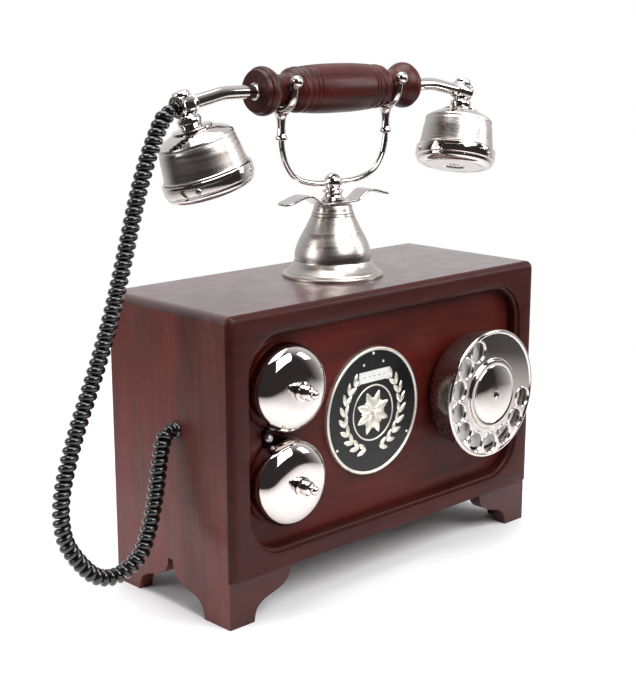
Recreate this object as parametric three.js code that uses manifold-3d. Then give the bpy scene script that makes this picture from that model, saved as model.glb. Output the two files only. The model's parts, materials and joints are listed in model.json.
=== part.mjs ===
// French-style cradle telephone: a wooden cabinet with two gongs and a rotary dial on its front,
// and a metal cradle on top that carries a handset with two hanging cups.
// Millimetres, +Z up, front towards -Y. The finished group has its origin at the middle of the footprint.
import * as THREE from "three";
import { mergeVertices } from "three/addons/utils/BufferGeometryUtils.js";
import Module from "manifold-3d";

const wasm = await Module();
wasm.setup();

// ---------- driving dimensions ----------
const GAP = 0.3; // clearance between neighbouring pieces
const CABINET = { halfW: 127, depth: 101.2, top: 173.1, foot: 26.9, wall: 9, cornerR: 4.5 };
const BACK_Y = 64;
const MID_Y = BACK_Y - CABINET.depth / 2; // 13.4, the plane of the cradle and the handset
const CASE_FRONT_Y = BACK_Y - CABINET.depth; // -37.2, front faces of the feet
const FRAME_FACE_Y = CASE_FRONT_Y - 3; // the front frame stands 3 mm proud
const FRAME_BACK_Y = FRAME_FACE_Y + 4; // back of its plate, which covers the edges of the side panels
const PANEL_FACE_Y = FRAME_FACE_Y + 8.5; // recessed front panel
const PANEL_T = 4;
const OPENING = { halfW: 115, low: 35.5, high: 162.3, r: 25.5, step: 3 };
const DIAL = { x: 67.5, z: 100.2, wheelR: 39.1, faceY: -57.1, holeRing: 31.2, holeR: 6 };
const DIAL_HOLES = { count: 10, first: 115.5, pitch: 25.55 }; // degrees, anticlockwise from +X
const GONG = { x: -84.5, zUp: 128.6, zLow: 75.3, r: 25.3, rimY: PANEL_FACE_Y - 1.4, depth: 16 };
const FINIAL_FRONT_Y = -61.2; // foremost point of the telephone
const ORIGIN_Y = (BACK_Y + FINIAL_FRONT_Y) / 2; // the footprint's middle, in the drawing below
const EMBLEM = { x: -13, z: 100.5, r: 38, rim: 3.2 };
const HANDLE_Z = 283;
const CRADLE_X = 1.8; // the leaf, yoke and handset sit slightly right of the pedestal
const FORK = { x: 42.8, width: 6, innerR: 9.9, ballY: 13, ballZ: 288, ballR: 3.5, footZ: 256 };
const ARM = { r: 3.75, droop: 11 };
const KNUCKLE = { x: 112.8, z: 277.5, r: 5.65, halfL: 5.8 };
const CUP = { tilt: 16, roll: 7.6 };
const CORD = { r: 5, sides: 10, steps: 56 };
const HAMMER = { pivotX: -70, z: (GONG.zUp + GONG.zLow) / 2, ballX: -96.5, ballR: 2.5 };

// ---------- materials ----------
function material(color, roughness, metalness) {
  return new THREE.MeshStandardMaterial({ color, roughness, metalness });
}
const MAT = {
  wood: material(0x5a2a22, 0.35, 0),
  nickel: material(0xd8cfc8, 0.12, 1),
  brushed: material(0xc4bcb4, 0.35, 1),
  plate: material(0xe6e2dc, 0.3, 0.6),
  blackEnamel: material(0x111111, 0.3, 0),
  blackCord: material(0x0b0b0b, 0.25, 0),
  steel: material(0x8d9094, 0.4, 1),
  brass: material(0xb08d4a, 0.35, 1),
  copper: material(0x9a5a36, 0.4, 1),
  board: material(0x2c5b3a, 0.6, 0),
};

// ---------- geometry helpers ----------
const rad = THREE.MathUtils.degToRad;
const V = (x, y, z) => new THREE.Vector3(x, y, z);

// Position-only geometry with its faces turned outward.
function outward(geometry) {
  const flat = geometry.index ? geometry.toNonIndexed() : geometry;
  const p = flat.getAttribute("position").array.slice();
  let volume = 0;
  for (let i = 0; i < p.length; i += 9) {
    const a = V(p[i], p[i + 1], p[i + 2]);
    const b = V(p[i + 3], p[i + 4], p[i + 5]);
    const c = V(p[i + 6], p[i + 7], p[i + 8]);
    volume += a.dot(b.cross(c));
  }
  if (volume < 0) {
    for (let i = 0; i < p.length; i += 9) {
      for (let k = 0; k < 3; k++) {
        [p[i + 3 + k], p[i + 6 + k]] = [p[i + 6 + k], p[i + 3 + k]];
      }
    }
  }
  return new THREE.BufferGeometry().setAttribute("position", new THREE.BufferAttribute(p, 3));
}

function toSolid(geometry) {
  const merged = mergeVertices(outward(geometry), 1e-4);
  return new wasm.Manifold(
    new wasm.Mesh({
      numProp: 3,
      vertProperties: merged.getAttribute("position").array,
      triVerts: new Uint32Array(merged.index.array),
    }),
  );
}

function toGeometry(solid) {
  const mesh = solid.getMesh();
  const geometry = new THREE.BufferGeometry();
  geometry.setAttribute("position", new THREE.BufferAttribute(mesh.vertProperties, 3));
  geometry.setIndex(new THREE.BufferAttribute(mesh.triVerts, 1));
  return geometry;
}

const join = (...parts) => toGeometry(parts.map(toSolid).reduce((a, b) => a.add(b)));
const cut = (body, ...tools) => toGeometry(tools.map(toSolid).reduce((a, b) => a.subtract(b), toSolid(body)));
const common = (a, b) => toGeometry(toSolid(a).intersect(toSolid(b)));

function box(x0, x1, y0, y1, z0, z1) {
  const g = new THREE.BoxGeometry(x1 - x0, y1 - y0, z1 - z0);
  return g.translate((x0 + x1) / 2, (y0 + y1) / 2, (z0 + z1) / 2);
}

function outline(points) {
  return new THREE.Shape(points.map(([a, b]) => new THREE.Vector2(a, b)));
}

// A shape drawn in X and Z, extruded from y0 to y1.
function slabXZ(shape, y0, y1, curveSegments = 10) {
  const g = new THREE.ExtrudeGeometry(shape, { depth: y1 - y0, bevelEnabled: false, curveSegments });
  return g.rotateX(Math.PI / 2).translate(0, y1, 0);
}

// A shape drawn in Y and Z, extruded from x0 to x1.
function slabYZ(shape, x0, x1, curveSegments = 10) {
  const g = new THREE.ExtrudeGeometry(shape, { depth: x1 - x0, bevelEnabled: false, curveSegments });
  g.applyMatrix4(new THREE.Matrix4().makeBasis(V(0, 1, 0), V(0, 0, 1), V(1, 0, 0)));
  return g.translate(x0, 0, 0);
}

// A shape drawn in X and Y, extruded from z0 to z1.
function slabXY(shape, z0, z1) {
  const g = new THREE.ExtrudeGeometry(shape, { depth: z1 - z0, bevelEnabled: false });
  return g.translate(0, 0, z0);
}

// Turned pieces: the profile is a list of [radius, position along the axis].
function turned(profile, segments = 32) {
  return new THREE.LatheGeometry(profile.map(([r, t]) => new THREE.Vector2(r, t)), segments);
}
const turnedY = (profile, x, z, segments) => turned(profile, segments).translate(x, 0, z);
const turnedZ = (profile, segments) => turned(profile, segments).rotateX(Math.PI / 2).translate(0, MID_Y, 0);
const turnedX = (profile, segments) =>
  turned(profile, segments).rotateZ(-Math.PI / 2).translate(0, MID_Y, HANDLE_Z);
function turnedAlong(profile, origin, direction, segments) {
  const q = new THREE.Quaternion().setFromUnitVectors(V(0, 1, 0), direction);
  return turned(profile, segments).applyQuaternion(q).translate(origin.x, origin.y, origin.z);
}

function rod(profileR, curve, steps, sides) {
  const section = new THREE.Shape();
  section.absarc(0, 0, profileR, 0, 2 * Math.PI);
  return new THREE.ExtrudeGeometry(section, { steps, extrudePath: curve, curveSegments: sides });
}

const mirrored = (geometry) => outward(geometry.clone().scale(-1, 1, 1));

const group = new THREE.Group();
function add(name, geometry, mat) {
  const mesh = new THREE.Mesh(outward(geometry).translate(0, -ORIGIN_Y, 0), mat);
  mesh.name = name;
  group.add(mesh);
}

// ---------- cabinet ----------
// Inner edge of a bracket foot, from the floor up: [distance inwards, height].
const BRACKET = [
  [0, 0], [0.9, 4.6], [2.4, 7.8], [5.4, 10.4], [9.5, 12.2], [17, 14.2], [21.5, 16.2], [25, 19.2],
  [27, 23], [27.5, CABINET.foot],
];
const SIDE_ARCH_HALF = 29.6;
const FRONT_FOOT_INNER = 109.5;

function sidePanel() {
  const { halfW, top, wall, cornerR } = CABINET;
  const centre = MID_Y + 0.6;
  const arch = [
    ...BRACKET.map(([d, z]) => [centre - SIDE_ARCH_HALF + d, z]),
    ...BRACKET.map(([d, z]) => [centre + SIDE_ARCH_HALF - d, z]).reverse(),
  ];
  const side = outline([[CASE_FRONT_Y, 0], ...arch, [BACK_Y, 0], [BACK_Y, top], [FRAME_BACK_Y + GAP, top],
    [FRAME_BACK_Y + GAP, 26.75], [CASE_FRONT_Y, 26.75]]);
  const section = new THREE.Shape();
  const g = GAP / 2;
  section.moveTo(-halfW, -1);
  section.lineTo(-halfW + wall, -1);
  section.lineTo(-halfW + wall, top - wall - 2 * g);
  section.absarc(-halfW + cornerR, top - cornerR, cornerR, rad(137.5), rad(180), false);
  const panel = common(slabYZ(side, -halfW - 1, -halfW + wall + 1), slabXZ(section, -60, 80, 5));
  const [entryOut, entryIn] = [-halfW - 1, -halfW + wall + 1];
  const entry = turned([[0, entryOut], [3.4, entryOut], [3.4, entryIn], [0, entryIn]], 20);
  entry.rotateZ(-Math.PI / 2).translate(0, GLAND.y, GLAND.z);
  return { panel: cut(panel, footMitre(1, GAP / 2), footMitre(-1, GAP / 2)), entry };
}

// The corner wedge outside the 45 degree mitre line of a foot; front: 1, back: -1.
function footMitre(side, clearance) {
  const { halfW, wall } = CABINET;
  const yAt = (y) => (side > 0 ? y : 2 * MID_Y - y);
  const pts = [
    [-halfW - 1, CASE_FRONT_Y - 1 + clearance],
    [-halfW + wall + 1, CASE_FRONT_Y + wall + 1 + clearance],
    [-halfW + wall + 1, CASE_FRONT_Y - 5], [-halfW - 1, CASE_FRONT_Y - 5]];
  return slabXY(outline(pts.map(([x, y]) => [x, yAt(y)])), -1, 26.75);
}

function bracketFoot(side) {
  const { halfW, wall, foot } = CABINET;
  const yAt = (y) => (side > 0 ? y : 2 * MID_Y - y);
  const face = BRACKET.map(([d, z]) => [-FRONT_FOOT_INNER + d, Math.min(z, foot - GAP)]);
  const y0 = yAt(CASE_FRONT_Y);
  const y1 = yAt(CASE_FRONT_Y + wall);
  const profile = outline([[-halfW, 0], ...face, [-halfW, foot - GAP]]);
  const block = slabXZ(profile, Math.min(y0, y1), Math.max(y0, y1));
  const c = GAP / 2;
  const wedge = [[-halfW - 1, CASE_FRONT_Y - 1 - c], [-halfW + wall + 1, CASE_FRONT_Y + wall + 1 - c],
    [-halfW - 1, CASE_FRONT_Y + wall + 1 - c]];
  return cut(block, slabXY(outline(wedge.map(([x, y]) => [x, yAt(y)])), -1, 40));
}

function topPanel() {
  const { halfW, top, wall, cornerR } = CABINET;
  const g = GAP / 2;
  const section = new THREE.Shape();
  section.moveTo(-halfW + wall + g, top - wall);
  section.lineTo(halfW - wall - g, top - wall);
  section.absarc(halfW - cornerR, top - cornerR, cornerR, rad(47.5), rad(90), false);
  section.absarc(-halfW + cornerR, top - cornerR, cornerR, rad(90), rad(132.5), false);
  const bore = turnedZ([[0, 150], [4, 150], [4, 180], [0, 180]], 20);
  return cut(slabXZ(section, FRAME_BACK_Y + GAP, BACK_Y, 5), bore);
}

// A closed ring made of rounded rectangles in the XZ plane, stitched one to the next and back to the first.
function rectangleRing(loops) {
  const arcSteps = 8;
  const rings = loops.map(({ halfW, low, high, rTop, rLow, y }) => {
    const corners = [
      [halfW - rTop, high - rTop, rTop, 0],
      [-halfW + rTop, high - rTop, rTop, 90],
      [-halfW + rLow, low + rLow, rLow, 180],
      [halfW - rLow, low + rLow, rLow, 270],
    ];
    return corners.flatMap(([cx, cz, r, start]) =>
      Array.from({ length: arcSteps + 1 }, (_, i) => {
        const a = rad(start + (90 * i) / arcSteps);
        return V(cx + r * Math.cos(a), y, cz + r * Math.sin(a));
      }),
    );
  });
  const positions = [];
  const quad = (a, b, c, d) => [a, b, c, a, c, d].forEach((p) => positions.push(p.x, p.y, p.z));
  rings.forEach((ring, i) => {
    const next = rings[(i + 1) % rings.length];
    ring.forEach((p, j) => {
      const k = (j + 1) % ring.length;
      quad(p, ring[k], next[k], next[j]);
    });
  });
  const g = new THREE.BufferGeometry();
  return g.setAttribute("position", new THREE.BufferAttribute(new Float32Array(positions), 3));
}

function frontFrame() {
  const { halfW, top, foot, wall } = CABINET;
  const outer = (inset, y) => ({
    halfW: halfW - inset, low: foot + Math.min(inset, 0.6), high: top - inset, rTop: 4.5, rLow: 1.5, y,
  });
  const inner = (inset, y) => ({
    halfW: OPENING.halfW - inset, low: OPENING.low + inset, high: OPENING.high - inset,
    rTop: OPENING.r - inset, rLow: OPENING.r - inset, y,
  });
  const lip = (y) => ({ halfW: halfW - wall - GAP, low: 33.8, high: top - wall - GAP, rTop: 2, rLow: 2, y });
  return rectangleRing([
    outer(0, FRAME_BACK_Y), outer(0.4, FRAME_FACE_Y + 2.2),
    outer(1.3, FRAME_FACE_Y + 0.9), outer(3.2, FRAME_FACE_Y),
    inner(0, FRAME_FACE_Y), inner(0.6, FRAME_FACE_Y + 2), inner(OPENING.step, FRAME_FACE_Y + 3.4),
    inner(OPENING.step, PANEL_FACE_Y - GAP), lip(PANEL_FACE_Y - GAP), lip(FRAME_BACK_Y),
  ]);
}

function roundHole(x, z, r) {
  const hole = new THREE.Path();
  hole.absarc(x, z, r, 0, 2 * Math.PI, true);
  return hole;
}

function frontPanel() {
  const w = CABINET.halfW - CABINET.wall - GAP;
  const shape = outline([[-w, 33.8], [w, 33.8], [w, 163.8], [-w, 163.8]]);
  shape.holes.push(
    roundHole(DIAL.x, DIAL.z, 5),
    roundHole(GONG.x, GONG.zUp, 3.3),
    roundHole(GONG.x, GONG.zLow, 3.3),
    outline([
      [-98.3, HAMMER.z - 4.2], [-94.7, HAMMER.z - 4.2], [-94.7, HAMMER.z + 4.2], [-98.3, HAMMER.z + 4.2],
    ]),
  );
  return slabXZ(shape, PANEL_FACE_Y, PANEL_FACE_Y + PANEL_T, 5);
}

const GLAND = { y: MID_Y - 7.3, z: 104.1 };
const inside = CABINET.halfW - CABINET.wall - GAP;
const left = sidePanel();
add("side_panel_left", cut(left.panel, left.entry), MAT.wood);
add("side_panel_right", mirrored(left.panel), MAT.wood);
add("top_panel", topPanel(), MAT.wood);
add("bottom_panel", box(-inside, inside, FRAME_BACK_Y + GAP, BACK_Y - 4.3, 27.2, 33.5), MAT.wood);
add("front_frame", frontFrame(), MAT.wood);
add("front_panel", frontPanel(), MAT.wood);
const jackHole = box(78, 96, BACK_Y - 10, BACK_Y + 1, 44, 60);
add("back_panel", cut(box(-inside, inside, BACK_Y - 4, BACK_Y, 27.2, 163.8), jackHole), MAT.wood);
for (const [end, side] of [["front", 1], ["back", -1]]) {
  add(`${end}_foot_left`, bracketFoot(side), MAT.wood);
  add(`${end}_foot_right`, mirrored(bracketFoot(side)), MAT.wood);
}

// ---------- dial ----------
// Outer wall of the bowl: [radius, distance behind the wheel face].
const BOWL = [[29, 25.4], [32.6, 22.5], [34.8, 18.5], [36.2, 14], [37.2, 9], [38, 3.2]];

function dialCase() {
  const wall = BOWL.map(([r, d]) => [r, DIAL.faceY + d]);
  const bore = BOWL.map(([r, d]) => [r - 2.2, DIAL.faceY + d]).reverse();
  return turnedY([...wall, ...bore, wall[0]], DIAL.x, DIAL.z, 32);
}

function fingerWheel() {
  const shape = new THREE.Shape();
  shape.absarc(DIAL.x, DIAL.z, DIAL.wheelR, 0, 2 * Math.PI);
  shape.holes.push(roundHole(DIAL.x, DIAL.z, 3.3));
  for (let k = 0; k < DIAL_HOLES.count; k++) {
    const a = rad(DIAL_HOLES.first + DIAL_HOLES.pitch * k);
    const x = DIAL.x + DIAL.holeRing * Math.cos(a);
    const z = DIAL.z + DIAL.holeRing * Math.sin(a);
    shape.holes.push(roundHole(x, z, DIAL.holeR));
  }
  return slabXZ(shape, DIAL.faceY, DIAL.faceY + 2.8, 10);
}

const ring = (r0, r1, y0, y1, x, z, segments) =>
  turnedY([[r0, y0], [r1, y0], [r1, y1], [r0, y1], [r0, y0]], x, z, segments);
const drum = (r, y0, y1, x, z, segments) => turnedY([[0, y0], [r, y0], [r, y1], [0, y1]], x, z, segments);

const GEAR_R = 13;
const GOVERNOR = { gearR: 3.2, rotorR: 5.5, x: DIAL.x, z: DIAL.z - GEAR_R - 3.2 - GAP };
add("dial_case", dialCase(), MAT.nickel);
add("number_plate", ring(8, 34.5, DIAL.faceY + 5.5, DIAL.faceY + 7, DIAL.x, DIAL.z, 40), MAT.plate);
add("finger_wheel", fingerWheel(), MAT.nickel);
const capY = DIAL.faceY;
add("wheel_cap", turnedY([[0, capY], [20.9, capY], [20.9, capY - 0.7], [17.8, capY - 1], [17, capY - 1.6],
  [9, capY - 2.1], [0, capY - 2.3]], DIAL.x, DIAL.z, 32), MAT.nickel);
add("dial_shaft", drum(3, DIAL.faceY + GAP, -32.4, DIAL.x, DIAL.z, 20), MAT.steel);
add("dial_gear", ring(3.3, GEAR_R, -48.5, -45.5, DIAL.x, DIAL.z, 32), MAT.brass);
const GOVERNOR_PROFILE = [
  [0, -48.5], [GOVERNOR.gearR, -48.5], [GOVERNOR.gearR, -45.5], [1.2, -45.5], [1.2, -44],
  [GOVERNOR.rotorR, -44], [GOVERNOR.rotorR, -38], [1.2, -38], [1.2, -35], [0, -35],
];
add("governor", turnedY(GOVERNOR_PROFILE, GOVERNOR.x, GOVERNOR.z, 20), MAT.brass);
add("return_spring", ring(4.5, 9, -43, -36.5, DIAL.x, DIAL.z, 24), MAT.steel);
add("dial_stop", box(DIAL.x + 11, DIAL.x + 15, -44, -34.4, DIAL.z + 5, DIAL.z + 9), MAT.steel);
add("dial_back_plate", ring(3.4, 20.5, -34, -32, DIAL.x, DIAL.z, 32), MAT.steel);

// ---------- ringer ----------
// Outer wall of a gong: [radius, distance in front of the rim].
const GONG_WALL = [
  [GONG.r, 0], [25.2, 3], [24.8, 6], [24, 8.7], [22.6, 11.1], [20.3, 13.2], [17, 14.7], [12, 15.6], [2.3, GONG.depth],
];
const GONG_BORE = [[2.3, 14.5], [11.7, 14.1], [16.2, 13.3], [19.2, 12], [21.3, 10.1], [22.6, 7.9], [23.3, 5.6],
  [23.7, 0]];

function gong(z) {
  const side = (wall) => wall.map(([r, d]) => [r, GONG.rimY - d]);
  return turnedY([...side(GONG_WALL), ...side(GONG_BORE), [GONG.r, GONG.rimY]], GONG.x, z, 28);
}

function gongPost(z) {
  const crown = GONG.rimY - 14.5 + GAP;
  return turnedY([[0, -25], [3, -25], [3, PANEL_FACE_Y], [5, PANEL_FACE_Y], [5, crown], [2, crown], [2, -55],
    [0, -55]], GONG.x, z, 20);
}

function gongNut(z) {
  const seat = GONG.rimY - GONG.depth - GAP;
  const ball = 2.6;
  const arc = (a) => [ball * Math.cos(rad(a)), FINIAL_FRONT_Y + ball - ball * Math.sin(rad(a))];
  return turnedY([[0, -55.3], [2.3, -55.3], [2.3, seat], [4.2, seat], [4.2, -55.2], [3.4, -56.2], [1.9, -56.6],
    ...[-30, 0, 30, 60].map(arc), [0, FINIAL_FRONT_Y]], GONG.x, z, 20);
}

function hammer() {
  const { pivotX, z, ballX, ballR } = HAMMER;
  const ballY = GONG.rimY - 2.2;
  const ball = new THREE.SphereGeometry(ballR, 12, 8).translate(ballX, ballY, z);
  const stem = drum(1, ballY + 1, -22.6, ballX, z, 12);
  const lever = box(ballX - 1, pivotX - 3, -25, -22.6, z - 1.2, z + 1.2);
  const hub = ring(1.8, 4, -25, -22.6, pivotX, z, 20);
  const armature = box(pivotX + 3, pivotX + 20, -25, -22.6, z - 1.5, z + 1.5);
  return join(ball, stem, lever, hub, armature);
}

for (const [place, z] of [["upper", GONG.zUp], ["lower", GONG.zLow]]) {
  add(`gong_${place}`, gong(z), MAT.nickel);
  add(`gong_post_${place}`, gongPost(z), MAT.steel);
  add(`gong_nut_${place}`, gongNut(z), MAT.nickel);
}
add("hammer", hammer(), MAT.steel);
const bracketPlate = box(-76, -36, -27.4, -25.4, 74, 126);
add("ringer_bracket", join(bracketPlate, drum(1.5, -26, -21, HAMMER.pivotX, HAMMER.z, 12)), MAT.steel);
add("ringer_coil_1", drum(9, -21.5, 6, -52, HAMMER.z - 13, 24), MAT.copper);
add("ringer_coil_2", drum(9, -21.5, 6, -52, HAMMER.z + 13, 24), MAT.copper);

// ---------- emblem ----------
const emblemIn = EMBLEM.r - EMBLEM.rim;
const emblemPlate = drum(emblemIn - GAP, PANEL_FACE_Y - 1.6, PANEL_FACE_Y, EMBLEM.x, EMBLEM.z, 40);
add("emblem_plate", emblemPlate, MAT.blackEnamel);
add("emblem_rim", turnedY([[emblemIn, PANEL_FACE_Y], [emblemIn, PANEL_FACE_Y - 1.8],
  [emblemIn + 0.9, PANEL_FACE_Y - 2.6], [EMBLEM.r - 0.9, PANEL_FACE_Y - 2.6], [EMBLEM.r, PANEL_FACE_Y - 1.8],
  [EMBLEM.r, PANEL_FACE_Y], [emblemIn, PANEL_FACE_Y]], EMBLEM.x, EMBLEM.z, 32), MAT.plate);

// ---------- cradle ----------
const PEDESTAL = [[3.4, 173.1], [30.1, 173.1], [30.1, 174.6], [29.5, 175.3], [27.4, 176.6], [24.6, 179.5],
  [22.9, 182.6], [22.7, 187.3], [21.2, 192.2], [19.4, 196.2], [17.5, 199.6], [15, 204.4], [12.5, 210],
  [11.6, 213], [11.2, 215.3], [3.4, 215.3], [3.4, 173.1]];
add("pedestal", turnedZ(PEDESTAL, 28), MAT.brushed);

// Upper face of the sprung leaf: [distance from the centre, height].
const LEAF = [
  [0, 217.2], [13.5, 217.4], [17.5, 219.2], [21.5, 221.7], [25.5, 222.8], [31, 222], [37, 220.3], [43.4, 218.9],
];
function hookLever() {
  const t = 1.2;
  const upper = [...LEAF.slice(1).map(([x, z]) => [-x, z]).reverse(), ...LEAF];
  const lower = upper.map(([x, z]) => [x, z - t]).reverse();
  const plan = new THREE.Shape();
  plan.absarc(CRADLE_X - 37.3, MID_Y, 5.7, rad(90), rad(270), false);
  plan.absarc(CRADLE_X + 37.3, MID_Y, 5.7, rad(-90), rad(90), false);
  const strip = slabXZ(outline([...upper, ...lower]), MID_Y - 10, MID_Y + 10).translate(CRADLE_X, 0, 0);
  return common(strip, slabXY(plan, 200, 240));
}
add("hook_lever", hookLever(), MAT.brushed);
add("plunger_rod", turnedZ([[0, 150], [3, 150], [3, 215.9], [0, 215.9]], 20), MAT.steel);

const BALL = { z: 228.5, r: 5.4 };
function yokeBall() {
  const arc = [-50, -30, -10, 10, 30, 50, 70].map((a) => [
    BALL.r * Math.cos(rad(a)), BALL.z + BALL.r * Math.sin(rad(a)),
  ]);
  const neck = turnedZ([[0, 217.3], [6.9, 217.5], [6.9, 218.9], [5.4, 220.4], [5.2, 222.4], [6.1, 223.2],
    [6.1, 224.2], [4.2, 224.5], ...arc, [0, BALL.z + BALL.r]], 20);
  const bore = turned([[0, -8], [2, -8], [2, 8], [0, 8]], 16).rotateZ(Math.PI / 2).translate(0, MID_Y, BALL.z);
  return cut(neck, bore);
}
add("yoke_ball", yokeBall(), MAT.nickel);

function yokeRod() {
  const half = [[0, BALL.z], [13, BALL.z], [24, 230.2], [31.5, 233], [36, 236.6], [39.9, 242.4], [41.9, 248.6],
    [FORK.x - 0.1, FORK.footZ - 3], [FORK.x, FORK.footZ - GAP]];
  const at = (side, list) => list.map(([x, z]) => V(CRADLE_X + side * x, MID_Y, z));
  const route = [...at(-1, half.slice(1)).reverse(), ...at(1, half)];
  return rod(1.7, new THREE.CatmullRomCurve3(route), 36, 5);
}
add("yoke_rod", yokeRod(), MAT.nickel);

function fork() {
  const { x, width, innerR, ballY, ballZ, ballR, footZ } = FORK;
  const outerR = innerR + 2.8;
  const band = new THREE.Shape();
  band.moveTo(MID_Y - innerR - 1.6, ballZ);
  band.lineTo(MID_Y - innerR, HANDLE_Z);
  band.absarc(MID_Y, HANDLE_Z, innerR, Math.PI, 2 * Math.PI, false);
  band.lineTo(MID_Y + innerR + 1.6, ballZ);
  band.lineTo(MID_Y + outerR + 1.8, ballZ);
  band.lineTo(MID_Y + outerR, HANDLE_Z - 1);
  band.quadraticCurveTo(MID_Y + outerR - 1, HANDLE_Z - 10, MID_Y + 2.6, 266.5);
  band.lineTo(MID_Y - 2.6, 266.5);
  band.quadraticCurveTo(MID_Y - outerR + 1, HANDLE_Z - 10, MID_Y - outerR, HANDLE_Z - 1);
  band.lineTo(MID_Y - outerR - 1.8, ballZ);
  const cradle = slabYZ(band, x - width / 2, x + width / 2, 9);
  const stemProfile = [[0, footZ], [3.2, footZ], [3.3, footZ + 1.6], [2.8, footZ + 2.6], [2.4, 267.5], [0, 267.5]];
  const stem = turned(stemProfile, 16);
  stem.rotateX(Math.PI / 2).translate(x, MID_Y, 0);
  const ball = (s) => new THREE.SphereGeometry(ballR, 12, 8).translate(x, MID_Y + s * ballY, ballZ);
  return join(cradle, stem, ball(1), ball(-1));
}
const moved = (geometry) => geometry.translate(CRADLE_X, 0, 0);
add("fork_right", moved(fork()), MAT.nickel);
add("fork_left", moved(mirrored(fork())), MAT.nickel);
add("hook_switch", box(-9, 9, MID_Y - 7, MID_Y + 7, 138, 149.7), MAT.blackEnamel);

// ---------- handset ----------
// Half of the turned handle: [distance from its middle, radius].
const HANDLE = [[0, 14.2], [10, 14.1], [20, 13.6], [28.6, 12.9], [29.8, 12.2], [31, 12.9], [33.4, 12.7], [34.6, 12],
  [35.8, 12.3], [37.4, 10.8], [39, 9.4], [41, 9], [47, 9], [50, 10], [53, 12.2], [55.4, 13.4], [57.4, 13.7],
  [59.4, 13.2], [60.4, 12], [62, 11.4]];
function handle() {
  const half = HANDLE.map(([x, r]) => [r, x]);
  const other = HANDLE.slice(1).map(([x, r]) => [r, -x]).reverse();
  return turnedX([[0, -62], ...other, ...half, [0, 62]], 24);
}
add("handle_grip", moved(handle()), MAT.wood);

// The arms, knuckles and cups hang from the handle, rolled a little towards the front.
function rolled(geometry) {
  return geometry.translate(0, -MID_Y, -HANDLE_Z).rotateX(rad(-CUP.roll)).translate(0, MID_Y, HANDLE_Z);
}
const knuckleAt = V(-KNUCKLE.x, MID_Y, KNUCKLE.z);
const outwards = V(-Math.cos(rad(ARM.droop)), 0, -Math.sin(rad(ARM.droop)));
const cupAxis = V(Math.sin(rad(CUP.tilt)), 0, -Math.cos(rad(CUP.tilt)));

function arm() {
  const end = knuckleAt.clone().addScaledVector(outwards, -KNUCKLE.halfL - 1.2 - GAP);
  const bend = V(-88, MID_Y, 282.4);
  const route = [V(-62 - GAP, MID_Y, HANDLE_Z), V(-75, MID_Y, HANDLE_Z), V(-83, MID_Y, 282.9), bend,
    bend.clone().lerp(end, 0.4), end];
  return rod(ARM.r, new THREE.CatmullRomCurve3(route), 12, 7);
}

function knuckle(open) {
  const { r, halfL: h } = KNUCKLE;
  const outerEnd = open
    ? [[r, h - 1.4], [r + 0.6, h - 1.2], [r + 0.6, h], [3.8, h], [3.8, h - 8], [0, h - 8]]
    : [[r, h - 1.4], [r + 0.6, h - 1.2], [r + 0.6, h - 0.2], [r - 1, h + 0.9], [0, h + 1.4]];
  return turnedAlong([[0, -h - 1.2], [r - 0.8, -h - 1.2], [r - 0.4, -h], [r, -h + 0.4], ...outerEnd],
    knuckleAt, outwards, 20);
}

// Cup and cap profiles: [radius, distance below the knuckle centre].
const CUP_WALL = [[0, 6.2], [5.6, 6.2], [6.5, 7.4], [6.5, 10.2], [5.9, 11], [5.9, 11.7], [11.3, 12.5], [11.3, 13.4],
  [14.6, 14.6], [18.8, 16.8], [21.2, 19], [21.6, 20.6], [22.6, 29], [23.7, 36.9]];
const CUP_BORE = [[21.5, 36.9], [20.4, 29], [19, 21], [0, 21]];
const CAP_WALL = [[0, 44.6], [22, 44.6], [23.5, 42], [23.5, 37.2], [24.9, 37.2], [25.3, 38], [25.3, 43.6], [24.4, 44.4],
  [24, 46], [22.6, 47.6], [20.5, 48.4], [8, 48.4], [7.2, 47.6], [0, 47.6]];

add("arm_left", moved(rolled(arm())), MAT.nickel);
add("arm_right", moved(mirrored(rolled(arm()))), MAT.nickel);
add("knuckle_left", moved(rolled(knuckle(true))), MAT.nickel);
add("knuckle_right", moved(mirrored(rolled(knuckle(false)))), MAT.nickel);
const hung = (profile, segments) => rolled(turnedAlong(profile, knuckleAt, cupAxis, segments));
const cup = () => hung([...CUP_WALL, ...CUP_BORE], 28);
const capsule = () => hung([[0, 25], [18.5, 25], [18.5, 35], [0, 35]], 20);
for (const [side, place] of [["left", moved], ["right", (g) => moved(mirrored(g))]]) {
  add(`cup_${side}`, place(cup()), MAT.brushed);
  add(`cup_cap_${side}`, place(hung(CAP_WALL, 28)), MAT.nickel);
  add(`capsule_${side}`, place(capsule()), MAT.blackEnamel);
}

// ---------- cord ----------
const relief = turnedAlong([[0, -0.9], [3.4, -0.9], [3.4, KNUCKLE.halfL + 1], [0, KNUCKLE.halfL + 1]], knuckleAt,
  outwards, 16);
add("strain_relief", moved(rolled(relief)), MAT.blackCord);

const { halfW } = CABINET;
const gland = turned([[0, -halfW + 8], [3, -halfW + 8], [3, -halfW - GAP], [4.6, -halfW - GAP], [4.6, -halfW - 1.6],
  [3.8, -halfW - 2.4], [0, -halfW - 2.4]], 20);
add("cord_gland", gland.rotateZ(-Math.PI / 2).translate(0, GLAND.y, GLAND.z), MAT.blackCord);

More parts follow.
